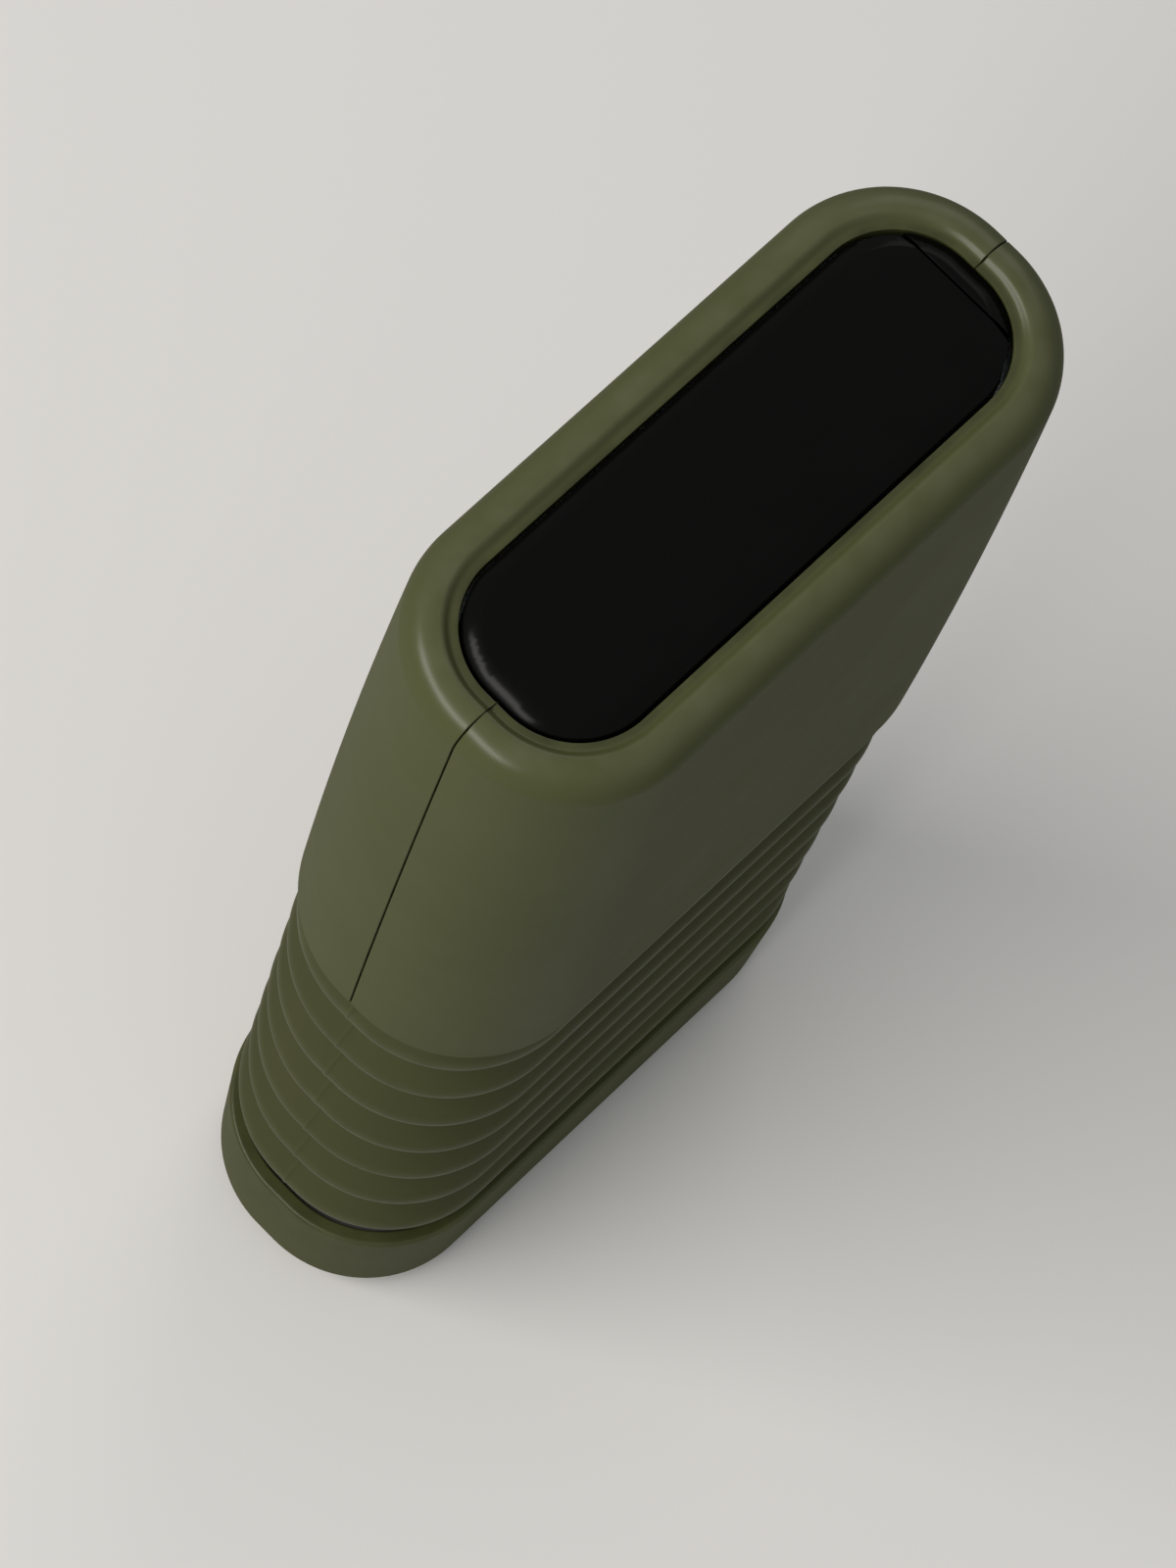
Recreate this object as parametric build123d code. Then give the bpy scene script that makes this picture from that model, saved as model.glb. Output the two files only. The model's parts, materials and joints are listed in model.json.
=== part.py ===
from build123d import *
import os

# Folding water bottle, in millimetres. A flat travel flask whose lower half is a silicone bellows.
# It stands on its foot pad at z = 0 with its long side along X. The lid's cover hinges at the +X end.
# Every outline is a rounded rectangle round the same four corner centres, so a wall is one section,
# drawn as reach (outwards from a corner centre) and height, carried round corners and sides.

# ---- Overall sizes ----
core_length = 52.5        # between the corner centres, along X
core_depth = 3.0          # between the corner centres, along Y
total_height = 200.0      # floor to the top of the cover
case_foot = 108.2         # lower edge of the rigid case when the bottle is pulled out
base_top = 22.0           # upper edge of the base cup
cover_reach = 9.65        # the cover's edge
case_top_reach = 16.0     # the case's side at its shoulder
case_foot_reach = 17.3    # the case's side at its lower edge
base_top_reach = 17.1

# ---- Clearances ----
face_gap = 0.1            # between pieces of one body that are pressed or bonded together
cover_gap = 0.35          # round the cover, to the case's rim
deck_gap = 0.4            # under the cover, to the lid deck
knuckle_gap = 0.25        # between the hinge ears and the cover
seal_gap = 0.06           # between a seal and what it slides on
run_gap = 0.05            # between a pin and the hole that turns on it
hold_gap = 0.02           # between a pin and the hole that holds it

# ---- Rim and case ----
cover_thickness = 2.8
rim_reach = cover_reach + cover_gap
rim_crest_drop = 0.45     # the rim's crest lies this far below the cover's top
rim_dish_drop = 1.15      # the dished band between the crest and the cover
rim_dish_width = 1.6
crest_width = 0.55
shoulder_drop = 4.4       # from the cover's top to where the shoulder meets the side
case_wall = 2.0
case_bulge = 0.45         # how far the side bows out of a straight line, half way down
lip_thickness = 1.6       # the case's inward lip, under the bellows clamp
seam_gap = 0.1            # between the two half shells
seam_groove_width = 0.5
seam_groove_depth = 0.35
edge_round = 0.4

# ---- Reservoir liner ----
flange_thickness = 1.75   # the case's top flange, over the liner
liner_wall = 1.4
liner_reach = 13.6
mouth_reach = 8.45        # the mouth that the lid plugs
mouth_wall = 1.6
liner_step = 0.6          # the liner's wall is this much longer inside a slope than outside
mouth_length = 15.4       # from the lid's ledge down to the liner's shoulder
liner_shoulder = 6.2
ledge_drop = 5.0          # from the cover's top to the ledge that carries the lid deck
ledge_thickness = 2.0

# ---- Bellows and its clamps ----
bellows_wall = 1.2
pleats = 7
pleat_crest = 16.3        # reach of the wall's middle at a crest
pleat_root = 11.6
pleat_round = 1.3
cuff_reach = 13.27        # the wall's middle where it is clamped
cuff_length = 12.0
clamp_wall = 1.0
clamp_drop = 1.5          # the lower clamp ends this far below the cup's edge
pleat_start_gap = 1.2      # from the case's lower edge to where the pleats start
pleat_end_gap = 1.0        # from the base cup's upper edge to where they end

# ---- Base ----
base_floor = 2.4
base_round = 3.4
base_taper = 0.5          # the cup's side leans in by this from top to foot
foot_stand = 0.8          # how far the pad holds the cup off the floor
foot_inset = 1.0          # how deep the pad sits in the cup
foot_reach = 12.1
tread_count = 6
tread_pitch = 9.0
tread_width = 1.4
tread_depth = 0.6

# ---- Lid deck ----
plug_wall = 2.0
plug_length = 12.0        # below the ledge
deck_floor = 2.0
gasket_height = 4.0
gasket_depth = 1.0
gasket_lift = 4.0         # from the plug's end to the gasket

# ---- Cover hinge ----
hinge_x = 30.5
hinge_drop = 1.6          # from the cover's top to the hinge axis
hinge_pin_radius = 0.6
hinge_pin_length = 17.6
ear_radius = 1.05         # round end of each ear that carries the pin
ear_inner = 4.4           # each ear's span along Y
ear_outer = 6.6
ear_width = 1.7           # the ear's arm, square to its length
ear_length = 3.4
ear_slope = 45.0          # degrees; the arm rises towards the axis from the -X side
tail = 2.2                # the cover goes on this far past the axis
swing_gap = 0.2           # round the tail's path
corner_relief = 0.35      # the cover is this much narrower near the hinge
relief_start = 1.5        # and from this far before the axis
hinge_block_start = 4.2   # the deck is solid from this far before the axis
cover_swing = 95.0        # degrees
cover_bevel = 1.8
cover_bevel_drop = 1.2
cover_ease = 0.2          # small break of the cover's lower edge and of the bevel's two edges
thumb_width = 12.0
thumb_depth = 1.0
thumb_height = 1.25
seal_inner = 7.05         # reach of the seal's groove under the cover
seal_outer = 8.25
seal_seat = 0.9           # depth of that groove
seal_end_gap = 4.6        # the seal stops this far short of the hinge axis

# ---- Spout ----
spout_x = 20.0
barrel_radius = 5.0
barrel_width = 11.4
barrel_lift = 0.8         # from the deck's floor to the barrel
barrel_side_gap = 0.3     # between the barrel's end and its bearing
tube_radius = 3.9
channel_radius = 2.5
spout_length = 36.0       # from the pivot to the tube's end
sleeve_length = 15.0
sleeve_wall = 1.0
sleeve_bead = 0.3
sleeve_cap = 0.8
sleeve_round = 0.35
stub_radius = 1.5
stub_inner = 3.2
stub_cover = 0.75         # wall left between each stub pin and the gasket's groove
bearing_width = 7.0
seal_radius = 4.4
saddle_height = 1.5       # of the port's seal over the deck's floor, before the barrel's seat is cut

# ---- Vent valve and magnets ----
vent_x = -20.5
vent_disc_radius = 2.6
vent_disc_height = 0.75
vent_stem_radius = 0.9
vent_stem_length = 1.6    # below the plug
vent_bulb_radius = 1.4
vent_hole_radius = 0.45
vent_hole_circle = 1.75
magnet_x = -28.0
magnet_radius = 3.0
magnet_cap_height = 0.6
deck_magnet_height = 1.9
cover_magnet_height = 1.2
boss_length = 8.6
boss_width = 9.0

# ---- Heights worked out from the sizes above ----
cover_under = total_height - cover_thickness
deck_top = cover_under - deck_gap
ledge_z = total_height - ledge_drop
flange_under = total_height - rim_dish_drop - flange_thickness
plug_end = ledge_z - plug_length
well_floor = plug_end + deck_floor
plug_reach = mouth_reach - 0.3
well_reach = plug_reach - plug_wall
mouth_end = ledge_z - mouth_length
stub_outer = core_depth / 2 + plug_reach - gasket_depth - stub_cover
hinge_z = total_height - hinge_drop
tail_radius = (tail**2 + hinge_drop**2) ** 0.5
spout_z = well_floor + barrel_lift + barrel_radius
cup_floor_under = foot_stand + foot_inset
cup_floor_top = cup_floor_under + base_floor
bellows_floor = cup_floor_top + face_gap
clamp_foot = case_foot + lip_thickness
shoulder_z = total_height - shoulder_drop


def at(reach, height):
    """A point of a section."""
    return (reach, 0, height)


def outline(*points):
    """A section with straight edges."""
    return make_face(Polyline(*[at(*p) for p in points], close=True))


def carried(section):
    """A section carried round the four corners and along the four sides between them."""
    corner = Pos(core_length / 2, core_depth / 2, 0)
    bend = revolve(corner * section, Axis((core_length / 2, core_depth / 2, 0), (0, 0, 1)), 90)
    end_wall = extrude(corner * section, core_depth, dir=(0, -1, 0))
    side_wall = extrude(corner * Rot(0, 0, 90) * section, core_length, dir=(-1, 0, 0))
    far_pair = [bend, mirror(bend, Plane.XZ), end_wall]
    near_pair = [mirror(piece, Plane.YZ) for piece in far_pair]
    return Part() + far_pair + near_pair + [side_wall, mirror(side_wall, Plane.XZ)]


def plate(reach, low, high):
    """A solid rounded rectangle between two heights."""
    shape = RectangleRounded(core_length + 2 * reach, core_depth + 2 * reach, reach)
    return Pos(0, 0, low) * extrude(shape, high - low)


def rod_along_y(radius, length, x, z):
    return Pos(x, 0, z) * Rot(90, 0, 0) * Cylinder(radius, length)


def rod_along_z(radius, low, high, x):
    return Pos(x, 0, (low + high) / 2) * Cylinder(radius, high - low)


def rod_along_x(radius, low, high, z):
    return Pos((low + high) / 2, 0, z) * Rot(0, 90, 0) * Cylinder(radius, high - low)


def block(x_low, x_high, y_low, y_high, z_low, z_high):
    centre = Pos((x_low + x_high) / 2, (y_low + y_high) / 2, (z_low + z_high) / 2)
    return centre * Box(x_high - x_low, y_high - y_low, z_high - z_low)


def both_sides(piece):
    """A piece and its mirror image across the XZ plane."""
    return [piece, mirror(piece, Plane.XZ)]


# ---- Rigid case ----
def case_outside():
    """The case's outer line: lower edge, bowed side, shoulder, crest and dished band, as edges."""
    middle = ((case_top_reach + case_foot_reach) / 2 + case_bulge, (shoulder_z + case_foot) / 2)
    foot = at(case_foot_reach, case_foot + edge_round)
    side = ThreePointArc(foot, at(*middle), at(case_top_reach, shoulder_z))
    crest_reach = rim_reach + rim_dish_width + crest_width
    crest = at(crest_reach, total_height - rim_crest_drop)
    shoulder = TangentArc(side @ 1, crest, tangent=side % 1)
    dish_edge = at(rim_reach + rim_dish_width, total_height - rim_crest_drop - crest_width / 3)
    crest_arc = TangentArc(shoulder @ 1, dish_edge, tangent=shoulder % 1)
    dish_foot = at(rim_reach + rim_dish_width / 2, total_height - rim_dish_drop)
    dish = TangentArc(crest_arc @ 1, dish_foot, tangent=crest_arc % 1)
    return [side, shoulder, crest_arc, dish]


def case_section():
    outside = case_outside()
    inner_side = ThreePointArc(
        at(case_top_reach - case_wall, shoulder_z - edge_round),
        at((case_top_reach + case_foot_reach) / 2 + case_bulge - case_wall, (shoulder_z + case_foot) / 2),
        at(case_foot_reach - case_wall, clamp_foot),
    )
    lip_reach = cuff_reach + bellows_wall / 2 + face_gap + clamp_wall / 2
    top_end = Polyline(
        outside[-1] @ 1,
        at(rim_reach, total_height - rim_dish_drop),
        at(rim_reach, flange_under),
        at(liner_reach - edge_round, flange_under),
        inner_side @ 0,
    )
    foot_end = Polyline(
        inner_side @ 1,
        at(lip_reach, clamp_foot),
        at(lip_reach, case_foot),
        at(case_foot_reach - edge_round, case_foot),
        outside[0] @ 0,
    )
    return make_face([*outside, top_end, inner_side, foot_end])


def half_shells():
    """Two mirrored halves. A shallow groove runs down their joint at the middle of each narrow end."""
    section = case_section()
    inset = section & Pos(-seam_groove_depth, 0, -seam_groove_depth) * section
    reach = core_length + case_foot_reach
    groove = block(-reach, reach, -seam_groove_width / 2, seam_groove_width / 2, 0, 2 * total_height)
    back = (carried(section) - groove).solids().sort_by(Axis.Y)[-1]
    strip = Pos(core_length / 2, seam_gap / 2, 0) * inset
    strip = extrude(strip, (seam_groove_width - seam_gap) / 2, dir=(0, 1, 0))
    back = back + [strip, mirror(strip, Plane.YZ)]
    return mirror(back, Plane.XZ), back


def reservoir_liner():
    """The rigid water wall inside the case: mouth, shoulder, wall and the spigot inside the bellows cuff."""
    ring_reach = rim_reach + liner_wall
    spigot = cuff_reach - bellows_wall / 2 - face_gap
    spigot_top = clamp_foot + cuff_length + liner_wall
    mouth_outer = mouth_reach + mouth_wall
    body_top = mouth_end - liner_shoulder
    return carried(outline(
        (ring_reach, flange_under),
        (ring_reach, ledge_z - ledge_thickness),
        (mouth_outer, ledge_z - ledge_thickness),
        (mouth_outer, mouth_end + mouth_wall / 4),
        (liner_reach, body_top + liner_step),
        (liner_reach, spigot_top + liner_reach - spigot),
        (spigot, spigot_top),
        (spigot, clamp_foot),
        (spigot - liner_wall, clamp_foot),
        (spigot - liner_wall, spigot_top + liner_step),
        (liner_reach - liner_wall, spigot_top + liner_step + liner_reach - spigot),
        (liner_reach - liner_wall, body_top),
        (mouth_reach, mouth_end),
        (mouth_reach, ledge_z),
        (rim_reach, ledge_z),
        (rim_reach, flange_under),
    ))


def clamp_ring(low, high):
    """A rectangular ring that grips the bellows cuff from outside, with its corners eased."""
    inner = cuff_reach + bellows_wall / 2 + face_gap
    outer = inner + clamp_wall
    ease = clamp_wall / 4
    return carried(outline(
        (inner, low), (outer, low), (outer, high - ease), (outer - ease, high),
        (inner + ease, high), (inner, high - ease),
    ))


# ---- Bellows and base ----
def bellows():
    """Silicone bag: a cuff at each end, pleats between the base and the case, and its own floor."""
    upper_end = case_foot - pleat_start_gap
    lower_end = base_top + pleat_end_gap
    pitch = (upper_end - lower_end) / pleats
    route = [at(cuff_reach, clamp_foot + cuff_length - face_gap), at(cuff_reach, upper_end)]
    for pleat in range(pleats):
        crest_z = upper_end - pitch * (pleat + 0.5)
        route.append(at(pleat_crest, crest_z))
        if pleat < pleats - 1:
            route.append(at(pleat_root, crest_z - pitch / 2))
    route += [at(cuff_reach, lower_end), at(cuff_reach, bellows_floor + bellows_wall / 2)]
    middle = FilletPolyline(*route, radius=pleat_round)
    wall = make_face(offset(middle, bellows_wall / 2, kind=Kind.TANGENT, side=Side.BOTH, closed=True))
    floor = plate(cuff_reach, bellows_floor, bellows_floor + bellows_wall)
    return carried(wall) + floor


def base_cup():
    """Rigid cup round the lower cuff, with a recess under it for the foot pad."""
    inner = cuff_reach + bellows_wall / 2 + 2 * face_gap + clamp_wall
    floor_reach = foot_reach / 2
    side_foot = base_top_reach - base_taper
    foot_edge = at(side_foot - base_round, foot_stand)
    side = Line(at(side_foot, foot_stand + base_round), at(base_top_reach, base_top - edge_round))
    toe = TangentArc(side @ 0, foot_edge, tangent=(0, 0, -1))
    rest = Polyline(
        side @ 1,
        at(base_top_reach - edge_round, base_top),
        at(inner + edge_round, base_top),
        at(inner, base_top - edge_round),
        at(inner, cup_floor_top),
        at(floor_reach, cup_floor_top),
        at(floor_reach, foot_stand),
        toe @ 1,
    )
    ring = carried(make_face([side, toe, rest]))
    middle = plate(floor_reach, foot_stand, cup_floor_top)
    return ring + middle - plate(foot_reach + face_gap, foot_stand, cup_floor_under)


def foot_pad():
    """Non-slip pad with cross treads cut in its underside."""
    pad = plate(foot_reach, 0, cup_floor_under)
    reach = core_depth / 2 + foot_reach
    for tread in range(tread_count):
        x = (tread - (tread_count - 1) / 2) * tread_pitch
        pad -= block(x - tread_width / 2, x + tread_width / 2, -reach, reach, 0, tread_depth)
    return pad


# ---- Cover ----
def cover_blank():
    """The cover's whole outline, bevelled round its top edge, before the hinge line divides it."""
    middle_reach = cover_reach / 2
    edge = carried(outline(
        (middle_reach, cover_under),
        (cover_reach - cover_ease, cover_under),
        (cover_reach, cover_under + cover_ease),
        (cover_reach, total_height - cover_bevel_drop),
        (cover_reach - 0.75 * cover_ease, total_height - cover_bevel_drop + cover_ease),
        (cover_reach - cover_bevel, total_height - 0.4 * cover_ease),
        (cover_reach - cover_bevel - 1.5 * cover_ease, total_height),
        (middle_reach, total_height),
    ))
    return edge + plate(middle_reach, cover_under, total_height)


def everything(x_low, x_high):
    """All space between two places along X."""
    return block(x_low, x_high, -core_length, core_length, 0, 2 * total_height)


def ear_slots():
    """Room in the cover's underside for each ear: round its end, and for its arm as the cover swings."""
    low, high = ear_inner - knuckle_gap, ear_outer + knuckle_gap
    slot = block(hinge_x - 1.6 * ear_width, hinge_x + 2 * tail, low, high, 0, hinge_z + ear_radius / 3)
    round_end = rod_along_y(ear_radius + 3 * run_gap, high - low, hinge_x, hinge_z)
    return both_sides(slot + Pos(0, (low + high) / 2, 0) * round_end)


def flip_cover():
    """The panel, with a short tail past the hinge axis that stays inside one radius round it."""
    narrow = cover_blank() & plate(cover_reach - corner_relief, cover_under, total_height)
    start = hinge_x - relief_start
    panel = (cover_blank() & everything(-2 * core_length, start)) + (narrow & everything(start, hinge_x))
    tail_end = narrow & everything(hinge_x, hinge_x + tail)
    panel += tail_end & rod_along_y(tail_radius, 2 * core_length, hinge_x, hinge_z)
    panel -= ear_slots()
    panel -= rod_along_y(hinge_pin_radius + run_gap, 2 * core_length, hinge_x, hinge_z)
    near_end = -(core_length / 2 + cover_reach)
    panel -= block(near_end - 1, near_end + thumb_depth, -thumb_width / 2, thumb_width / 2,
                   cover_under, cover_under + thumb_height)
    panel -= rod_along_z(magnet_radius + face_gap, cover_under, cover_under + magnet_cap_height
                         + cover_magnet_height + 2 * face_gap, magnet_x)
    groove_end = hinge_x - seal_end_gap + face_gap
    return panel - (carried(seal_groove()) & everything(-2 * core_length, groove_end))


def seal_groove():
    high = cover_under + seal_seat
    return outline(
        (seal_inner, cover_under), (seal_outer, cover_under), (seal_outer, high), (seal_inner, high),
    )


def cover_seal():
    """A bead let into the cover's underside, which meets the lid deck's flange. It stops at the hinge."""
    low, high = seal_inner + face_gap, seal_outer - face_gap
    foot = cover_under - deck_gap / 2
    bead = carried(outline(
        (low, cover_under + seal_seat - face_gap), (high, cover_under + seal_seat - face_gap),
        (high, cover_under), (high - 0.3, foot), (low + 0.3, foot), (low, cover_under),
    ))
    return bead & everything(-2 * core_length, hinge_x - seal_end_gap)


def hinge_pin():
    return rod_along_y(hinge_pin_radius, hinge_pin_length, hinge_x, hinge_z)


# ---- Lid deck ----
def open_cover_space():
    """The slab that the open cover takes at its stop, with the swing gap."""
    low, high = cover_under - hinge_z - swing_gap, total_height - hinge_z + swing_gap
    slab = block(-3 * core_length, 0, -core_length, core_length, low, high)
    return Pos(hinge_x, 0, hinge_z) * Rot(0, cover_swing, 0) * slab


def hinge_end():
    """The fixed end of the top face past the cover's tail, on the solid end of the deck."""
    top = cover_blank() + plate(cover_reach, deck_top, cover_under)
    top &= everything(hinge_x + tail, 2 * core_length)
    filled = plate(well_reach + face_gap, well_floor, deck_top)
    return top + (filled & everything(hinge_x - hinge_block_start, core_length))


def hinge_ear():
    """A round end on the hinge axis with an arm down towards -X into the deck."""
    middle, width = (ear_inner + ear_outer) / 2, ear_outer - ear_inner
    arm = block(-ear_length, 0, middle - width / 2, middle + width / 2, -ear_width / 2, ear_width / 2)
    arm = Pos(hinge_x, 0, hinge_z) * Rot(0, -ear_slope, 0) * arm
    return arm + Pos(0, middle, 0) * rod_along_y(ear_radius, width, hinge_x, hinge_z)


def lid_deck():
    """The plug that closes the mouth, with the well that the folded spout lies in."""
    deck = plate(cover_reach, ledge_z, deck_top) + plate(plug_reach, plug_end, ledge_z)
    deck -= plate(well_reach, well_floor, deck_top)
    gasket_low = plug_end + gasket_lift
    groove_reach = plug_reach - gasket_depth
    deck -= carried(outline(
        (groove_reach, gasket_low), (plug_reach + 1, gasket_low),
        (plug_reach + 1, gasket_low + gasket_height), (groove_reach, gasket_low + gasket_height),
    ))
    well_side = core_depth / 2 + well_reach
    bearing = block(spout_x - bearing_width / 2, spout_x + bearing_width / 2,
                    barrel_width / 2 + barrel_side_gap, well_side + swing_gap,
                    well_floor, spout_z + 2 * stub_radius)
    boss = block(magnet_x - boss_length / 2, magnet_x + boss_length / 2,
                 -boss_width / 2, boss_width / 2, well_floor, deck_top)
    boss &= plate(well_reach + plug_wall / 4, well_floor, deck_top)
    deck = deck + both_sides(bearing) + boss + hinge_end() - open_cover_space()
    deck -= rod_along_y(tail_radius + swing_gap, 2 * core_length, hinge_x, hinge_z)
    deck = deck + both_sides(hinge_ear())
    deck -= rod_along_y(hinge_pin_radius + hold_gap, hinge_pin_length + 4 * face_gap, hinge_x, hinge_z)
    deck -= rod_along_y(stub_radius + run_gap, 2 * stub_outer + 4 * face_gap, spout_x, spout_z)
    deck -= rod_along_z(magnet_radius + face_gap, deck_top - magnet_cap_height - deck_magnet_height
                        - 2 * face_gap, deck_top, magnet_x)
    deck -= rod_along_z(seal_radius + face_gap, well_floor - deck_floor / 2, well_floor, spout_x)
    deck -= rod_along_z(channel_radius + face_gap, plug_end, well_floor, spout_x)
    deck -= rod_along_z(vent_stem_radius + face_gap, plug_end, well_floor, vent_x)
    for hole in PolarLocations(vent_hole_circle, 4):
        deck -= Pos(vent_x, 0, plug_end + deck_floor / 2) * hole * Cylinder(vent_hole_radius, deck_floor)
    return deck


def lid_gasket():
    """The mouth seal: a band in the plug's groove with two lips."""
    low = plug_end + gasket_lift + face_gap
    high = plug_end + gasket_lift + gasket_height - face_gap
    inner = plug_reach - gasket_depth + face_gap
    tip = mouth_reach - seal_gap
    waist = plug_reach - 0.3
    step = (high - low) / 5
    return carried(outline(
        (inner, low), (plug_reach, low), (tip, low + step), (waist, low + 2 * step),
        (waist, low + 3 * step), (tip, low + 4 * step), (plug_reach, high), (inner, high),
    ))


def spout_seal():
    """Ring round the port with a saddle on top that the barrel turns in."""
    low = well_floor - deck_floor / 2 + face_gap
    high = well_floor + saddle_height
    ring = rod_along_z(seal_radius, low, high, spout_x)
    ring -= rod_along_z(channel_radius + face_gap, low, high, spout_x)
    return ring - rod_along_y(barrel_radius + run_gap, 2 * barrel_width, spout_x, spout_z)


def vent_valve():
    """Umbrella valve that lets air in: a thin disc over the vent holes on a stem with a bulb."""
    disc = rod_along_z(vent_disc_radius, well_floor + hold_gap, well_floor + vent_disc_height, vent_x)
    disc = chamfer(disc.edges().sort_by(Axis.Z)[-1], vent_disc_height / 2)
    middle = well_floor + vent_disc_height / 2
    stem = rod_along_z(vent_stem_radius, plug_end - vent_stem_length, middle, vent_x)
    bulb = Pos(vent_x, 0, plug_end - vent_bulb_radius - face_gap) * Sphere(vent_bulb_radius)
    return disc + stem + bulb


def deck_magnet():
    high = deck_top - magnet_cap_height - face_gap
    return rod_along_z(magnet_radius, high - deck_magnet_height, high, magnet_x)


def deck_magnet_cap():
    return rod_along_z(magnet_radius, deck_top - magnet_cap_height, deck_top, magnet_x)


def cover_magnet():
    low = cover_under + magnet_cap_height + face_gap
    return rod_along_z(magnet_radius, low, low + cover_magnet_height, magnet_x)


def cover_magnet_cap():
    return rod_along_z(magnet_radius, cover_under, cover_under + magnet_cap_height, magnet_x)


# ---- Spout ----
def spout_arm():
    """Valve barrel and drinking tube in one. It lies towards -X, and its port meets the seal upright."""
    barrel = rod_along_y(barrel_radius, barrel_width, spout_x, spout_z)
    tube = rod_along_x(tube_radius, spout_x - spout_length, spout_x, spout_z)
    channel = rod_along_x(channel_radius, spout_x - spout_length, spout_x + barrel_radius, spout_z)
    arm = barrel + tube - channel
    return arm - rod_along_y(stub_radius + hold_gap, 2 * barrel_width, spout_x, spout_z) + stub_plugs()


def stub_plugs():
    """The barrel's core between the two stub holes, with the channel through it."""
    core = rod_along_y(stub_radius + 2 * hold_gap, 2 * stub_inner, spout_x, spout_z)
    return core - rod_along_x(channel_radius, spout_x - barrel_radius, spout_x + barrel_radius, spout_z)


def spout_pins():
    middle = (stub_inner + stub_outer) / 2
    length = stub_outer - stub_inner - 2 * hold_gap
    pin = Pos(0, middle, 0) * rod_along_y(stub_radius, length, spout_x, spout_z)
    return Part() + both_sides(pin)


def spout_mouthpiece():
    """Soft sleeve over the tube's end, with a bead at its lip."""
    tip = spout_x - spout_length - face_gap
    outer = tube_radius + face_gap + sleeve_wall
    sleeve = rod_along_x(outer, tip - sleeve_cap, tip + sleeve_length, spout_z)
    sleeve += rod_along_x(outer + sleeve_bead, tip - sleeve_cap / 4, tip + 3 * sleeve_cap, spout_z)
    sleeve -= rod_along_x(tube_radius + face_gap, tip, tip + sleeve_length, spout_z)
    sleeve -= rod_along_x(channel_radius, tip - sleeve_cap, tip, spout_z)
    return fillet(sleeve.edges().filter_by(GeomType.CIRCLE).sort_by(Axis.X)[:2], sleeve_round)


def build():
    front, back = half_shells()
    return {
        "front_shell": front,
        "back_shell": back,
        "reservoir_liner": reservoir_liner(),
        "bellows_top_clamp": clamp_ring(clamp_foot, clamp_foot + cuff_length),
        "bellows": bellows(),
        "bellows_bottom_clamp": clamp_ring(cup_floor_top, base_top - clamp_drop),
        "base_cup": base_cup(),
        "foot_pad": foot_pad(),
        "lid_deck": lid_deck(),
        "lid_gasket": lid_gasket(),
        "spout_seal": spout_seal(),
        "vent_valve": vent_valve(),
        "deck_magnet": deck_magnet(),
        "deck_magnet_cap": deck_magnet_cap(),
        "cover_hinge_pin": hinge_pin(),
        "flip_cover": flip_cover(),
        "cover_seal": cover_seal(),
        "cover_magnet": cover_magnet(),
        "cover_magnet_cap": cover_magnet_cap(),
        "spout_arm": spout_arm(),
        "spout_mouthpiece": spout_mouthpiece(),
        "spout_pins": spout_pins(),
    }


os.makedirs("parts", exist_ok=True)
for node, shape in build().items():
    export_step(shape, f"parts/{node}.step")
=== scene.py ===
"""A folding travel flask. Metres, in the frame of the CAD model: +Z up, the long side along X, the foot
at z = 0.

The shapes below are worked out in millimetres. Most are one section, drawn as reach (outwards from the
rectangle of the four corner centres) and height, carried round that rectangle.
"""
import bmesh
import bpy
import json
import math
import numpy as np
from mathutils import Matrix, Vector


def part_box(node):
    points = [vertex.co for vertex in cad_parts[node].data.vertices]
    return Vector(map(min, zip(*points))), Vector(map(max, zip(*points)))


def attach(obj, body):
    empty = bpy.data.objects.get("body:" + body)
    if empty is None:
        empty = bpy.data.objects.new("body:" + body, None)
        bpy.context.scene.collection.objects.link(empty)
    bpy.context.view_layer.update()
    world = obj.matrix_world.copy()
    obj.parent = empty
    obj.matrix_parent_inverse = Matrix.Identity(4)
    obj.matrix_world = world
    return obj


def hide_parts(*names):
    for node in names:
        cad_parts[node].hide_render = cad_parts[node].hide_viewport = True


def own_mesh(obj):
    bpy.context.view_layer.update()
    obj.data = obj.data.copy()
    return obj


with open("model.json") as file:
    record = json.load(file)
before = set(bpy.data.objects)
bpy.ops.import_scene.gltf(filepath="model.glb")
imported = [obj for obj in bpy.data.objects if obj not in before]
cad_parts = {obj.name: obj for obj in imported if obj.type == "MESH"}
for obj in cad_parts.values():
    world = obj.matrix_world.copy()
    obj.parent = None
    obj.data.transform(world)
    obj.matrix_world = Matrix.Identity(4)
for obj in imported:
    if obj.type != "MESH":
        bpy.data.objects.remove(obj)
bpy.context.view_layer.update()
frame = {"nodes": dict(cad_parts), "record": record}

MM = 0.001
QUARTER = math.pi / 2                # a quarter turn
CORE_X, CORE_Y = 26.25, 1.5          # the corner centres lie this far from the middle
MERGE = 2e-6                         # points of a mesh nearer than this, in metres, are one
TINY = 1e-6                          # two angles nearer than this are equal


def box_mm(node):
    """The lowest and highest corner of a CAD node, in millimetres."""
    low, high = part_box(node)
    return np.array(low) / MM, np.array(high) / MM


def height_mm(node):
    """The lowest and highest height of a CAD node, in millimetres."""
    low, high = box_mm(node)
    return low[2], high[2]


# ---------------------------------------------------------------- curves

ARC_SHARE = 0.48                     # an arc takes at most this share of each run beside its corner


def smooth_step(low, high, value):
    """0 below low, 1 above high, and 3t^2 - 2t^3 between them. With low above high it falls instead: 1 below
    high and 0 above low."""
    t = np.clip((value - low) / (high - low), 0, 1)
    return t * t * (3 - 2 * t)


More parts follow.
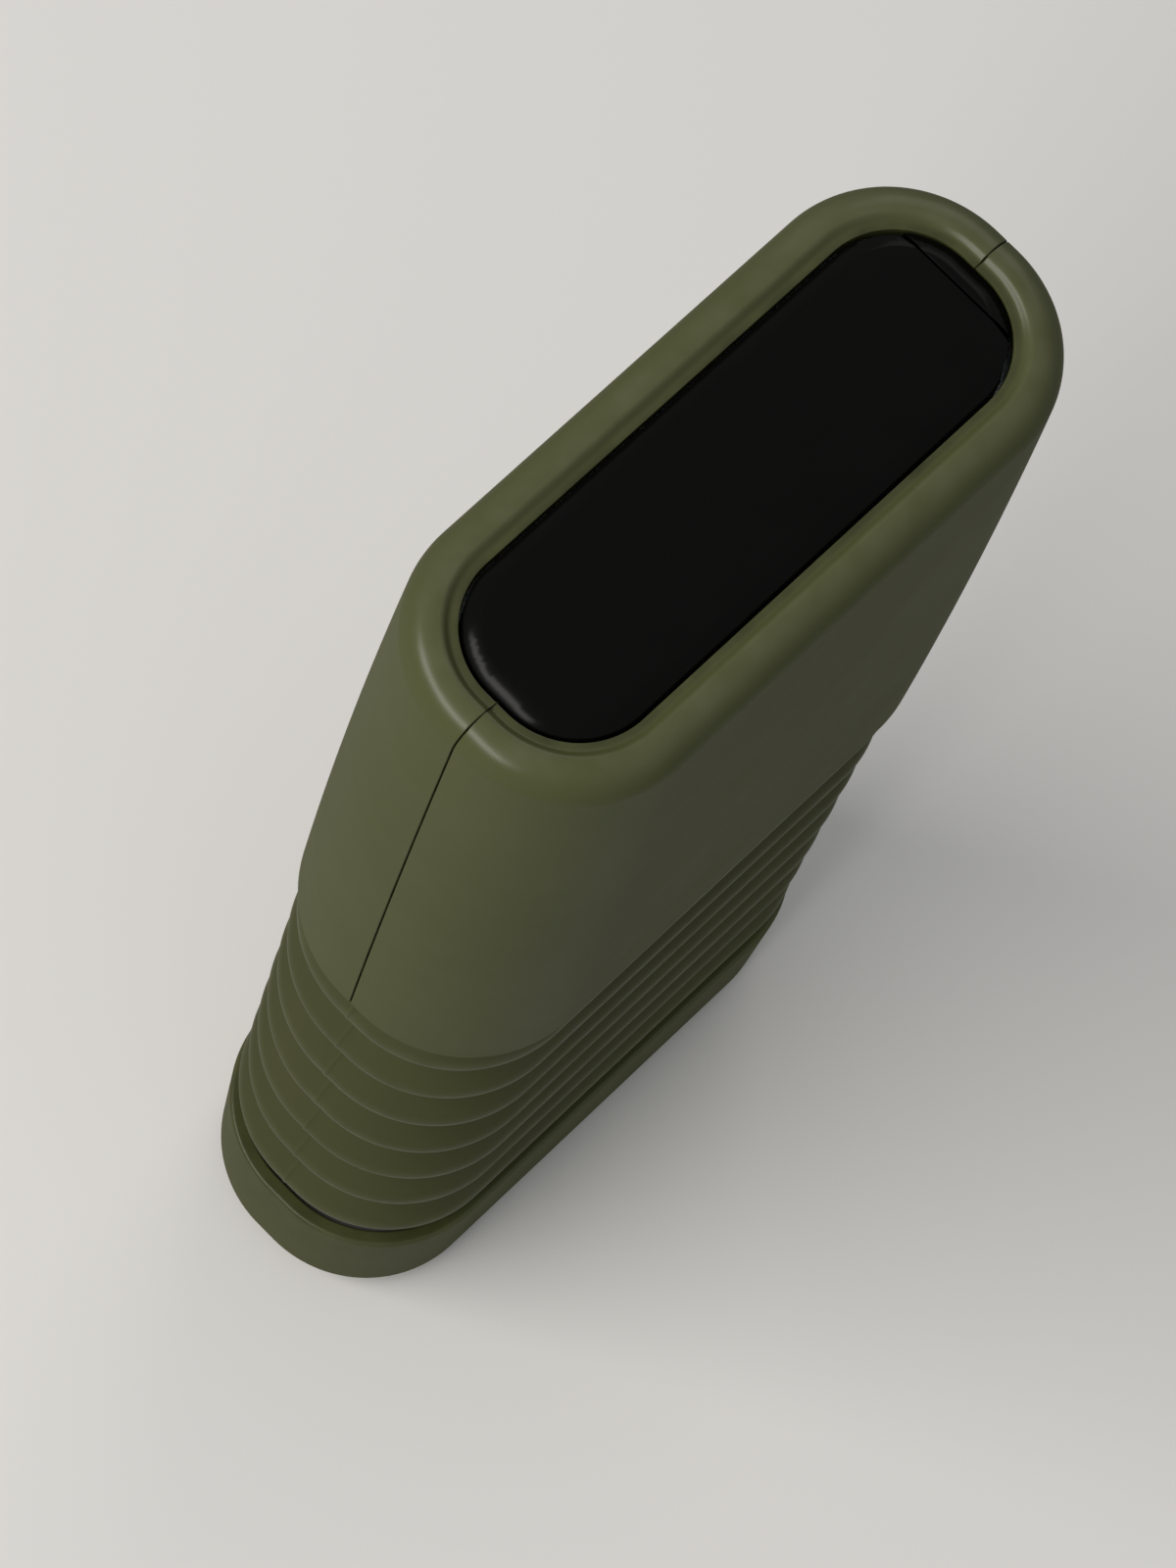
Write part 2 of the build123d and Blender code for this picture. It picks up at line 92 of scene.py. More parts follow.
def rounded(points, radii, steps=6, closed=True):
    """The broken line through points with each corner replaced by an arc. The arc starts r tan(turn / 2)
    before the corner, and its points are the start turned about the arc's centre by equal shares of the
    turn."""
    p = np.array(points, float)
    before, after = np.roll(p, 1, axis=0), np.roll(p, -1, axis=0)
    if not closed:
        before[0], after[-1] = 2 * p[0] - p[1], 2 * p[-1] - p[-2]
    along_in, along_out = p - before, after - p
    length_in = np.linalg.norm(along_in, axis=1, keepdims=True)
    length_out = np.linalg.norm(along_out, axis=1, keepdims=True)
    u, v = along_in / length_in, along_out / length_out
    turn = np.arctan2(u[:, 0] * v[:, 1] - u[:, 1] * v[:, 0], (u * v).sum(1))
    half_tan = np.tan(abs(turn) / 2)
    room = ARC_SHARE * np.minimum(length_in, length_out)[:, 0]
    tangent = np.minimum(np.broadcast_to(radii, turn.shape) * half_tan, room)
    radius = tangent / np.maximum(half_tan, 1e-9)
    start = p - u * tangent[:, None]
    side = np.sign(turn)[:, None] * np.stack([-u[:, 1], u[:, 0]], 1)
    centre = start + side * radius[:, None]
    angle = turn[:, None] * np.linspace(0, 1, steps + 1)
    arm = (start - centre)[:, None]
    cos, sin = np.cos(angle), np.sin(angle)
    arm_x, arm_y = arm[..., 0], arm[..., 1]
    arcs = centre[:, None] + np.stack([arm_x * cos - arm_y * sin, arm_x * sin + arm_y * cos], 2)
    straight = abs(turn) < TINY
    arcs[straight] = p[straight][:, None]
    return arcs.reshape(-1, 2)


def quarter_round(centre, radius, start, points):
    """Points of a quarter circle: centre + radius x (cosine, sine) of equal steps of angle from start."""
    angle = np.linspace(start, start + QUARTER, points)
    return np.stack([centre[0] + radius * np.cos(angle), centre[1] + radius * np.sin(angle)], 1)


def walled(line, thickness):
    """A closed section: the line moved half the thickness along its normal, and back along the other side."""
    direction = np.gradient(line, axis=0)
    direction /= np.linalg.norm(direction, axis=1, keepdims=True)
    normal = np.stack([direction[:, 1], -direction[:, 0]], 1) * thickness / 2
    return np.concatenate([line + normal, (line - normal)[::-1]])


def dense(line, step):
    """Points every step along a broken line, by its running length."""
    run = np.concatenate([[0], np.cumsum(np.linalg.norm(np.diff(line, axis=0), axis=1))])
    at = np.linspace(0, run[-1], int(run[-1] / step) + 2)
    return np.stack([np.interp(at, run, line[:, 0]), np.interp(at, run, line[:, 1])], 1)


def outline(end, corner, side):
    """Stations round half the outline, counter-clockwise from the +X end to the -X end, as (foot, angle).
    Along a side the foot moves and the normal's angle stays, and round a corner the angle moves and the foot
    stays. end lists the distances of the end stations from the middle; corner and side count the steps."""
    end = np.array(end, float)
    sweep = np.linspace(0, QUARTER, corner + 1)
    run = np.linspace(CORE_X, -CORE_X, side + 1)
    near = np.full(end.size + corner + 1, CORE_X)
    along = np.full(2 * corner + side + 3, CORE_Y)
    foot_x = np.concatenate([near, run, -near])
    foot_y = np.concatenate([end, along, end[::-1]])
    angle = np.concatenate([0 * end, sweep, 0 * run + QUARTER, sweep + QUARTER, 0 * end + math.pi])
    return np.stack([foot_x, foot_y], 1), angle


def all_round(half):
    """The whole outline: a half, then the same half turned by 180 degrees."""
    foot, angle = half
    return np.concatenate([foot, -foot]), np.concatenate([angle, angle + math.pi])


END = [0.0, 0.6]                     # stations of a plain end: its middle, and one towards the corner


# ---------------------------------------------------------------- surfaces

def carried(section, stations, swell=0.0):
    """Grid of points: foot + (reach + swell) x normal, at the section's height. A reach below zero draws the
    foot in towards the middle line instead, so a section from -CORE_Y closes a floor."""
    foot, angle = stations
    reach = section[None, :, 0] + swell
    inset, outset = np.minimum(reach, 0), np.maximum(reach, 0)
    foot_x = np.clip(foot[:, 0:1], -CORE_X - inset, CORE_X + inset)
    foot_y = np.clip(foot[:, 1:2], -CORE_Y - inset, CORE_Y + inset)
    x = foot_x + outset * np.cos(angle)[:, None]
    y = foot_y + outset * np.sin(angle)[:, None]
    return np.stack([x, y, np.broadcast_to(section[None, :, 1], x.shape)], 2)


def turned(section, centre, axis, steps):
    """Grid of points of a section (distance along the axis, radius) turned about an axis through centre."""
    angle = np.linspace(0, 2 * math.pi, steps, endpoint=False)[:, None]
    along, radius = section[None, :, 0] + 0 * angle, section[None, :, 1]
    across = [np.cos(angle) * radius, np.sin(angle) * radius]
    order = {"X": [along, *across], "Z": [*across, along]}[axis]
    return np.stack(order, 2) + np.array(centre, float)


def surface(name, grid, body, stands_for, closed_path=True, closed_section=True, caps=False, sharp=40):
    """A mesh of the grid's quads, in metres, that rides on a body and stands for a CAD node. caps fills the
    section at both ends of an open path. Doubled points are merged, so poles close. Edges that turn by more
    than sharp degrees are shaded sharp."""
    rows, columns = grid.shape[:2]
    index = np.arange(rows * columns).reshape(rows, columns)
    next_row, next_column = np.roll(index, -1, 0), np.roll(index, -1, 1)
    quads = np.stack([index, next_row, np.roll(next_row, -1, 1), next_column], 2)
    quads = quads[: rows if closed_path else rows - 1, : columns if closed_section else columns - 1]
    faces = quads.reshape(-1, 4).tolist()
    if caps:
        faces += [index[0, ::-1].tolist(), index[-1].tolist()]
    mesh = bpy.data.meshes.new(name)
    mesh.from_pydata((grid.reshape(-1, 3) * MM).tolist(), [], faces)
    work = bmesh.new()
    work.from_mesh(mesh)
    bmesh.ops.remove_doubles(work, verts=work.verts, dist=MERGE)
    bmesh.ops.dissolve_degenerate(work, edges=work.edges, dist=MERGE / 20)
    bmesh.ops.recalc_face_normals(work, faces=work.faces)
    work.to_mesh(mesh)
    work.free()
    mesh.shade_smooth()
    mesh.set_sharp_from_angle(angle=math.radians(sharp))
    piece = bpy.data.objects.new(name, mesh)
    bpy.context.scene.collection.objects.link(piece)
    weighted = piece.modifiers.new("weighted normals", "WEIGHTED_NORMAL")
    weighted.keep_sharp = True
    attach(piece, body)
    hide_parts(stands_for)
    return piece


def points_of(piece):
    """A piece's points as an array, in millimetres."""
    flat = np.empty(3 * len(piece.data.vertices))
    piece.data.vertices.foreach_get("co", flat)
    return flat.reshape(-1, 3) / MM


def reach_of(points):
    """How far each point lies outside the rectangle of the corner centres."""
    beyond_x = np.maximum(abs(points[:, 0]) - CORE_X, 0)
    beyond_y = np.maximum(abs(points[:, 1]) - CORE_Y, 0)
    return np.hypot(beyond_x, beyond_y)


def mark(piece, name, values):
    """Stores one number per point, for a material to read."""
    attribute = piece.data.attributes.new(name, "FLOAT", "POINT")
    attribute.data.foreach_set("value", np.ascontiguousarray(values, float))


def remember_place(piece):
    """Stores each point's place at rest, so that a pattern stays on the silicone when it folds."""
    attribute = piece.data.attributes.new("rest_place", "FLOAT_VECTOR", "POINT")
    attribute.data.foreach_set("vector", (points_of(piece) * MM).astype(np.float32).ravel())


# ---------------------------------------------------------------- rigid case

RIM = 10.0                           # the opening's edge
CREST = 12.15                        # the raised line round the rim
CREST_TO_DISH = 0.7                  # from the crest down to the dished band's floor
DISH_RUN = (0.15, 1.4)               # the band falls between these distances from the crest
SHOULDER, SHOULDER_DROP = 16.0, 3.95
CASE_FOOT, CASE_BOW = 17.3, 0.44
SIDE_START, TOE = 0.45, 0.4          # the side's start above the lower edge, and that edge's round
RIM_ROUND, RIM_BREAK = 0.15, 0.04    # the opening's edge, and the middle of its round
FLANGE, FLANGE_REACH = 1.75, 13.2    # the top's thickness inside, and where it ends
INNER_TOP, INNER_DROP = 14.0, 4.35   # the inside's upper corner, and how far it lies below the crest
INNER_FOOT, INNER_ROUND = 15.3, 0.15
LIP, LIP_HEIGHT = 14.47, 1.6         # the inward lip that holds the bellows clamp

SEAM_HALF = 0.05                     # half the gap between the two half shells
GROOVE, GROOVE_DEPTH = 0.15, 0.3     # the groove's run on each side of the gap, and its depth at the gap
NEAR_SEAM = [SEAM_HALF, 0.07, 0.1, 0.14, 0.19, 0.26, 0.9]


def case_section(low, high):
    """The case's section, and 1 for each of its points on the outer skin, 0 inside. The side is a straight
    line plus 4 x bow x u(1 - u), the shoulder a quarter ellipse, and the dished band an easing curve down
    from the crest."""
    top, start, dish_floor = high - SHOULDER_DROP, low + SIDE_START, high - CREST_TO_DISH
    u = np.linspace(0, 1, 30)
    bow = 4 * CASE_BOW * u * (1 - u)
    side = np.stack([CASE_FOOT + (SHOULDER - CASE_FOOT) * u + bow, start + (top - start) * u], 1)
    a = np.linspace(0, QUARTER, 20)[1:]
    crown = np.stack([CREST + (SHOULDER - CREST) * np.cos(a), top + SHOULDER_DROP * np.sin(a)], 1)
    r = np.linspace(CREST, RIM + RIM_ROUND, 14)[1:]
    dish = np.stack([r, high - CREST_TO_DISH * smooth_step(*DISH_RUN, CREST - r)], 1)
    edge = np.array([[RIM + RIM_BREAK, dish_floor - RIM_BREAK], [RIM, dish_floor - RIM_ROUND]])
    skin = np.concatenate([side, crown, dish, edge])
    ceiling, lip_top = dish_floor - FLANGE, low + LIP_HEIGHT
    inside = rounded([(RIM, ceiling), (FLANGE_REACH, ceiling), (INNER_TOP, high - INNER_DROP),
                      (INNER_FOOT, lip_top), (LIP, lip_top), (LIP, low)], INNER_ROUND, 3, closed=False)
    toe = quarter_round((CASE_FOOT - TOE, low + TOE), TOE, -QUARTER, 7)[:-1]
    section = np.concatenate([toe, skin, inside])
    outer = np.concatenate([np.ones(len(toe) + len(skin)), np.zeros(len(inside))])
    return section, outer


def half_case(name, node, sign):
    """One half shell. Towards the joint the skin falls away by depth x (1 - sqrt(1 - t^2)), so the joint is a
    fine groove."""
    low, high = height_mm(node)
    section, outer = case_section(low, high)
    stations = outline(NEAR_SEAM, corner=40, side=24)
    foot, angle = stations
    t = np.clip(1 - (abs(foot[:, 1:2]) - SEAM_HALF) / GROOVE, 0, 1)
    at_end = (np.minimum(angle, math.pi - angle) < TINY)[:, None]
    fall = GROOVE_DEPTH * (1 - np.sqrt(1 - t ** 2)) * at_end
    grid = carried(section, stations, -fall * outer)
    grid[..., 1] *= sign
    piece = surface(name, grid, "case", node, closed_path=False, caps=True)
    at = points_of(piece)
    reach, height = reach_of(at), at[:, 2]
    # lighter top of the shoulder's crest: wear plus a painted highlight
    on_crest = smooth_step(high - 1.4, high, height) * smooth_step(CREST - 1.15, CREST - 0.15, reach)
    # painted shade: darker in the dished band by the rim and in the seam groove at the ends
    by_rim = smooth_step(RIM + 1.5, RIM + 0.2, reach) * smooth_step(high - 1.55, high - 0.95, height)
    by_seam = smooth_step(0.2, 0.07, abs(at[:, 1])) * smooth_step(CORE_X, CORE_X + 6, abs(at[:, 0]))
    mark(piece, "worn", on_crest)
    mark(piece, "grime", np.maximum(by_rim * 0.6, by_seam))
    return piece


front_half = half_case("case_front_half", "front_shell", -1)
back_half = half_case("case_back_half", "back_shell", 1)


# ---------------------------------------------------------------- base cup

CUP_TOP, CUP_FOOT, CUP_TOE = 17.1, 16.6, 3.4
CUP_SIDE = 4.4                       # the flared side starts at this height
CUP_BORE, CUP_FLOOR = 15.07, 4.2
PAD_REACH, PAD_ROOF = 12.2, 1.8      # the recess for the foot pad


def base_cup():
    """Cup: a recess under it, a quarter-round toe, a side that flares towards the top, a rounded lip and the
    inside, closed at the middle line."""
    foot, top = height_mm("base_cup")
    toe_start = CUP_FOOT - CUP_TOE
    under = rounded([(-CORE_Y, PAD_ROOF), (PAD_REACH, PAD_ROOF), (PAD_REACH, foot), (toe_start - 0.2, foot)],
                    [0, 0.15, 0.15, 0], 3, closed=False)
    toe = quarter_round((toe_start, foot + CUP_TOE), CUP_TOE, -QUARTER, 16)
    steps = 6
    lip = rounded([(CUP_FOOT, CUP_SIDE), (CUP_TOP, top), (CUP_BORE, top), (CUP_BORE, CUP_FLOOR),
                   (-CORE_Y, CUP_FLOOR)], [0, 0.55, 0.35, 0.8, 0], steps, closed=False)
    section = np.concatenate([under, toe, lip[steps + 1:]])
    stations = all_round(outline(END, corner=40, side=24))
    piece = surface("base_cup_moulded", carried(section, stations), "base", "base_cup", closed_section=False)
    at = points_of(piece)
    height = at[:, 2]
    in_lip = smooth_step(CUP_TOP - 0.7, CUP_TOP - 1.7, abs(at[:, 1]) - CORE_Y)
    mark(piece, "worn", smooth_step(foot + 2.7, foot + 0.1, height))
    # painted shade: darker on the inner side of the lip near its top
    mark(piece, "grime", smooth_step(top - 1.5, top, height) * in_lip * 0.4)
    return piece


cup = base_cup()


# ---------------------------------------------------------------- silicone bellows

PLEATS, CUFF, WALL = 7, 13.27, 1.2   # the cuff's reach is that of the wall's middle
PLEAT_CREST, PLEAT_ROOT = 16.3, 11.6
CREST_ROUND, ROOT_ROUND = 1.25, 1.2
CUFF_LAP, CUFF_STRAIGHT = 0.1, 0.4   # the pleats run into each cuff, and start this far past it
PROFILE_STEP = 0.45
PLEAT_LOW, PLEAT_HIGH = 23.0, 107.0
FLASH, FLASH_WIDTH = 0.12, 0.22


def bellows_pleats():
    """The folding wall: a zigzag between crests and roots with its corners rounded, given a wall. A low
    moulding flash, its height times exp(-(y / width)^2), runs down the middle of each end."""
    pitch = (PLEAT_HIGH - PLEAT_LOW) / PLEATS
    step = np.arange(2 * PLEATS - 1)
    at_crest = step % 2 == 0
    zigzag = np.stack([np.where(at_crest, PLEAT_CREST, PLEAT_ROOT), PLEAT_LOW + pitch / 2 * (step + 1)], 1)
    near = [(CUFF, PLEAT_LOW - CUFF_LAP), (CUFF, PLEAT_LOW + CUFF_STRAIGHT)]
    far = [(CUFF, PLEAT_HIGH - CUFF_STRAIGHT), (CUFF, PLEAT_HIGH + CUFF_LAP)]
    end_radii = [0, ROOT_ROUND]
    radii = np.concatenate([end_radii, np.where(at_crest, CREST_ROUND, ROOT_ROUND), end_radii[::-1]])
    line = rounded(np.concatenate([near, zigzag, far]), radii, 8, closed=False)
    line = dense(line, PROFILE_STEP)
    stations = all_round(outline([0.0, 0.1, 0.2, 0.35, 0.6], corner=30, side=16))
    foot, angle = stations
    at_end = abs(np.cos(angle)) > 1 - TINY
    flash = FLASH * np.exp(-(foot[:, 1] / FLASH_WIDTH) ** 2) * at_end
    outer = np.concatenate([np.ones(len(line)), np.zeros(len(line))])
    grid = carried(walled(line, WALL), stations, flash[:, None] * outer)
    piece = surface("bellows_pleats", grid, "base", "bellows", sharp=60)
    remember_place(piece)
    reach = reach_of(points_of(piece))
    # lighter outer crests: wear plus a painted highlight
    mark(piece, "worn", smooth_step(PLEAT_CREST - 0.3, PLEAT_CREST + 0.4, reach))
    # painted shade: darker towards the pleats' roots
    mark(piece, "grime", smooth_step(PLEAT_ROOT + 1.6, PLEAT_ROOT + 0.2, reach) * 0.7)
    return piece


def bellows_cuffs():
    """The upper cuff is a plain band, gripped inside the case. The lower one runs down to the bag's floor."""
    floor, top = height_mm("bellows")
    inner, outer = CUFF - WALL / 2, CUFF + WALL / 2
    stations = all_round(outline(END, corner=30, side=16))
    band = rounded([(inner, PLEAT_HIGH), (outer, PLEAT_HIGH), (outer, top), (inner, top)],
                   [0.05, 0.05, 0.3, 0.3], 3)
    upper = surface("bellows_upper_cuff", carried(band, stations), "case", "bellows")
    bag = rounded([(-CORE_Y, floor), (outer, floor), (outer, PLEAT_LOW), (inner, PLEAT_LOW),
                   (inner, floor + WALL), (-CORE_Y, floor + WALL)],
                  [0, 1.2, 0.05, 0.05, 0.6, 0], 5, closed=False)
    lower = surface("bellows_lower_bag", carried(bag, stations), "base", "bellows", closed_section=False)
    remember_place(upper)
    remember_place(lower)
    return upper, lower


pleats = bellows_pleats()
upper_cuff, lower_bag = bellows_cuffs()
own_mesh(pleats)


# ---------------------------------------------------------------- soft seals and mouthpiece

GASKET_SEAT, GASKET_BAND, GASKET_EDGE, GASKET_LIP = 7.25, 7.9, 8.1, 8.39
BEAD = (7.15, 8.15)                  # the cover bead's inner and outer reach
SPOUT_X, SPOUT_Z, BARREL = 20.0, 190.8, 5.0
PORT = (2.6, 4.4)                    # the port seal's inner and outer radius
PORT_LEAST, RUN_GAP = 0.3, 0.05      # its least height, and its clearance from the barrel
VALVE_X, VALVE_STEM, VALVE_BULB = -20.5, 0.88, 1.4
VALVE_DISC, VALVE_DOME = 2.5, 0.4
BITE_RINGS = (5.0, 9.5)              # where the rings start and end, from the tip
RING_PITCH, RING_HEIGHT = 0.75, 0.09
SLEEVE_EASE = 0.04                   # the sleeve's outside lies this far inside its profile


def gasket():
    """Two rounded lips on a band."""
    low, high = height_mm("lid_gasket")
    step = (high - low) / 5
    points = [(GASKET_SEAT, low), (GASKET_EDGE, low), (GASKET_LIP, low + step),
              (GASKET_BAND, low + 2 * step), (GASKET_BAND, low + 3 * step),
              (GASKET_LIP, low + 4 * step), (GASKET_EDGE, high), (GASKET_SEAT, high)]
    section = rounded(points, [0.1, 0.2, 0.25, 0.25, 0.25, 0.25, 0.2, 0.1], 4)
    stations = all_round(outline(END, corner=24, side=16))
    return surface("lid_gasket_lips", carried(section, stations), "lid", "lid_gasket")


def cover_bead():
    """The bead under the cover: a band with a round foot, carried along both sides and round the near end. It
    stops at the hinge, where the CAD piece's box ends."""
    low, high = box_mm("cover_seal")
    foot, angle = all_round(outline(END, corner=40, side=24))
    keep = (angle > QUARTER - TINY) & (angle < 3 * QUARTER + TINY)
    foot[:, 0] = np.minimum(foot[:, 0], high[0])
    inner, outer = BEAD
    section = rounded([(inner, low[2]), (outer, low[2]), (outer, high[2]), (inner, high[2])],
                      [0.4, 0.4, 0.1, 0.1], 5)
    return surface("cover_seal_bead", carried(section, (foot[keep], angle[keep])), "cover", "cover_seal",
                   closed_path=False, caps=True)


def port_seal():
    """Ring round the port. Its top is the lower of a level face and the barrel's cylinder plus running
    clearance."""
    low, high = height_mm("spout_seal")
    bore, outside = PORT
    section = rounded([(low, bore), (low, outside), (high, outside), (high, bore)], 0.12, 3)
    grid = turned(section, (SPOUT_X, 0, 0), "Z", 96)
    saddle = SPOUT_Z - np.sqrt((BARREL + RUN_GAP) ** 2 - (grid[..., 0] - SPOUT_X) ** 2)
    grid[..., 2] = np.minimum(grid[..., 2], np.maximum(saddle, low + PORT_LEAST))
    return surface("spout_port_seal", grid, "lid", "spout_seal")


def umbrella_valve():
    """A domed disc with a thin edge, a stem and a pull-through bulb. The dome falls as the square of the
    radius."""
    low, high = height_mm("vent_valve")
    r = np.linspace(0, VALVE_DISC, 9)
    dome = np.stack([high - VALVE_DOME * (r / VALVE_DISC) ** 2, r], 1)
    under = high - 0.72
    edge_and_stem = [(high - 0.55, VALVE_DISC + 0.1), (under, VALVE_DISC), (under, VALVE_STEM + 0.07),
                     (high - 0.9, VALVE_STEM), (low + 2.3, VALVE_STEM)]
    a = np.linspace(0.35 * math.pi, math.pi, 12)
    bulb = np.stack([low + VALVE_BULB + VALVE_BULB * np.cos(a), VALVE_BULB * np.sin(a)], 1)
    section = np.concatenate([dome, edge_and_stem, bulb])
    return surface("vent_umbrella", turned(section, (VALVE_X, 0, 0), "Z", 48), "lid", "vent_valve",
                   closed_section=False)


def mouthpiece():
    """Soft sleeve: a rounded lip and a bead at the tip, then a slight waist with six shallow bite rings. A
    ring's height is the square of a sine."""
    low, high = box_mm("spout_mouthpiece")
    tip, end = low[0], high[0]
    outside = rounded([(tip, 2.55), (tip, 5.0), (tip + 1.6, 5.3), (tip + 3.0, 4.92), (end, 4.98)],
                      [0.3, 0.9, 1.2, 1.0, 0], 8, closed=False)
    outside = dense(outside, 0.16)
    first, last = BITE_RINGS
    along = outside[:, 0]
    ring = RING_HEIGHT * np.maximum(np.sin((along - tip - first) * math.pi / RING_PITCH), 0) ** 2
    outside[:, 1] += ring * ((along > tip + first) & (along < tip + last)) - SLEEVE_EASE
    inside = rounded([(end, 4.9), (end, 4.0), (tip + 0.8, 4.0), (tip + 0.8, 2.5), (tip + 0.1, 2.5)],
                     [0.2, 0.15, 0.15, 0.1, 0], 4, closed=False)[1:]
    grid = turned(np.concatenate([outside, inside]), (0, 0, SPOUT_Z), "X", 64)
    return surface("spout_soft_mouthpiece", grid, "spout", "spout_mouthpiece")


soft_pieces = [gasket(), cover_bead(), port_seal(), umbrella_valve(), mouthpiece()]


# ---------------------------------------------------------------- material effects

def set_socket(tree, socket, value):
    """Gives a socket a constant, or links it to another socket."""
    if isinstance(value, bpy.types.NodeSocket):
        tree.links.new(value, socket)
    else:
        socket.default_value = value


def add(tree, kind, values=None, **settings):
    """A shader node. values sets its sockets, each to a constant or from another socket."""
    made = tree.nodes.new("ShaderNode" + kind)
    for key, value in settings.items():
        setattr(made, key, value)
    for key, value in (values or {}).items():
        set_socket(tree, made.inputs[key], value)
    return made


def maths(tree, operation, *values, **settings):
    """The result of one Math node."""
    return add(tree, "Math", dict(enumerate(values)), operation=operation, **settings).outputs[0]


def use_group(tree, group, **values):
    """A node that uses an effect."""
    made = tree.nodes.new("ShaderNodeGroup")
    made.node_tree = group
    for key, value in values.items():
        set_socket(tree, made.inputs[key], value)
    return made


def effect(name, inputs, outputs):
    """An empty shader node group with named sockets: its tree, what it is given and what it puts out."""
    tree = bpy.data.node_groups.new(name, "ShaderNodeTree")
    kinds = {"f": "NodeSocketFloat", "c": "NodeSocketColor", "v": "NodeSocketVector"}
    for key, (kind, value) in inputs.items():
        socket = tree.interface.new_socket(name=key, in_out="INPUT", socket_type=kinds[kind])
        if value is not None:
            socket.default_value = value
    for key, kind in outputs.items():
        tree.interface.new_socket(name=key, in_out="OUTPUT", socket_type=kinds[kind])
    return tree, tree.nodes.new("NodeGroupInput").outputs, tree.nodes.new("NodeGroupOutput").inputs


def mould_grain():
    """Fine spark-eroded texture of a moulding: two noises, one cell and about a quarter of a cell across."""
    tree, given, out = effect("mould grain", {"Place": ("v", None), "Cell": ("f", 0.0004)}, {"Height": "f"})
    per_metre = maths(tree, "DIVIDE", 1.0, given["Cell"])
    coarse = add(tree, "TexNoise", {"Vector": given["Place"], "Scale": per_metre, "Detail": 2.0})
    finer = maths(tree, "MULTIPLY", per_metre, 3.7)
    fine = add(tree, "TexNoise", {"Vector": given["Place"], "Scale": finer, "Detail": 1.0})
    mixed = maths(tree, "MULTIPLY_ADD", fine.outputs["Fac"], 0.45, coarse.outputs["Fac"])
    tree.links.new(mixed, out["Height"])
    return tree


def colour_drift():
    """Slow change of shade over a surface: the colour times 1 + Amount x (noise - 0.5)."""
    inputs = {"Place": ("v", None), "Color": ("c", (1, 1, 1, 1)), "Patch": ("f", 0.03), "Amount": ("f", 0.2)}
    tree, given, out = effect("colour drift", inputs, {"Color": "c"})
    per_metre = maths(tree, "DIVIDE", 1.0, given["Patch"])
    noise = add(tree, "TexNoise", {"Vector": given["Place"], "Scale": per_metre, "Detail": 4.0,
                                   "Roughness": 0.6})
    centred = maths(tree, "SUBTRACT", noise.outputs["Fac"], 0.5)
    gain = maths(tree, "MULTIPLY_ADD", centred, given["Amount"], 1.0)
    shade = add(tree, "VectorMath", {0: given["Color"], "Scale": gain}, operation="SCALE").outputs[0]
    tree.links.new(shade, out["Color"])
    return tree


def handling():
    """Marks of use. Roughness gains (noise - 0.5) x Smudge at two sizes, broad smears and finger-sized
    smudges, and where it gains, Gloss loses: Gloss x (1 - 2.5 x the gain)."""
    inputs = {"Place": ("v", None), "Roughness": ("f", 0.4), "Smudge": ("f", 0.1), "Gloss": ("f", 0.0)}
    tree, given, out = effect("handling", inputs, {"Roughness": "f", "Gloss": "f"})
    gain = 0.0
    for scale, detail, distortion in ((28.0, 3.0, 1.2), (130.0, 4.0, 0.3)):
        smear = add(tree, "TexNoise", {"Vector": given["Place"], "Scale": scale, "Detail": detail,
                                       "Distortion": distortion})
        centred = maths(tree, "SUBTRACT", smear.outputs["Fac"], 0.5)
        gain = maths(tree, "MULTIPLY_ADD", centred, given["Smudge"], gain)
    kept = maths(tree, "MULTIPLY_ADD", gain, -2.5, 1.0)
    tree.links.new(maths(tree, "ADD", given["Roughness"], gain), out["Roughness"])
    tree.links.new(maths(tree, "MULTIPLY", given["Gloss"], kept, use_clamp=True), out["Gloss"])
    return tree


GRAIN, DRIFT, HANDLING = mould_grain(), colour_drift(), handling()


# ---------------------------------------------------------------- materials

PATCH = 0.03                         # size of a patch of drifting shade, in metres


def laid_on(tree, base, at, name, tint):
    """The base colour, with a tint over it where the piece's mark of that name is high, in broken patches."""
    amount = add(tree, "Attribute", attribute_name=name, attribute_type="GEOMETRY").outputs["Fac"]
    patchy = add(tree, "TexNoise", {"Vector": at, "Scale": 220.0, "Detail": 3.0}).outputs["Fac"]
    broken = add(tree, "MapRange", {"Value": patchy, "From Min": 0.2, "From Max": 0.75}, clamp=True)
    amount = maths(tree, "MULTIPLY", amount, broken.outputs[0])
    return add(tree, "Mix", {0: amount, 6: base, 7: (*tint, 1)}, data_type="RGBA").outputs[2]


